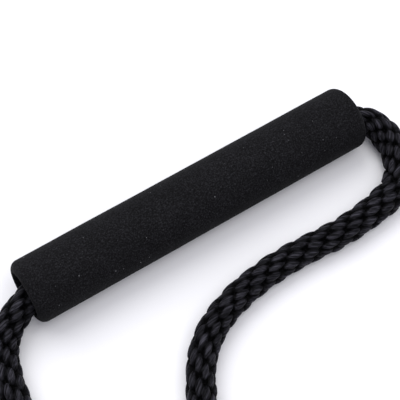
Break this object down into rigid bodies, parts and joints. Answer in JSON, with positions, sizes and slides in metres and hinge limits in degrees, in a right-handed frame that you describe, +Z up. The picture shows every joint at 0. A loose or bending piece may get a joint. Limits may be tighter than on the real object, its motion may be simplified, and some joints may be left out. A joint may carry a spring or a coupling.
{
  "type": "tow rope handle",
  "caption": "Straight foam-covered tow handle on a rigid core tube, with a braided rope through it knotted into a closed bridle.",
  "frame": {"origin": "on the surface the handle rests on, under the middle of the foam grip", "axes": "+X along the grip, +Z up, and the bridle lies towards -Y"},
  "size_m": [0.2226, 0.2463, 0.0339],
  "materials": {
    "foam": "closed-cell foam, fine matte grain",
    "core": "extruded plastic tube, satin",
    "rope": "solid-braided multifilament, soft sheen",
    "twine": "waxed twine, satin",
    "melted_tip": "heat-sealed filament, uneven gloss"
  },
  "bodies": {
    "rope": {"rope_in_tube": "rope", "left_leg": "rope", "right_leg": "rope", "bridle_knot": "rope", "left_tail": "rope", "right_tail": "rope", "left_whipping": "twine", "right_whipping": "twine", "left_tip": "melted_tip", "right_tip": "melted_tip"},
    "handle": {"foam_grip": "foam", "core_tube": "core"}
  },
  "joints": [
    {"name": "grip_roll", "type": "hinge", "parent": "rope", "child": "handle", "pos_m": [0, 0, 0.015], "axis": [1, 0, 0], "continuous": true}
  ]
}
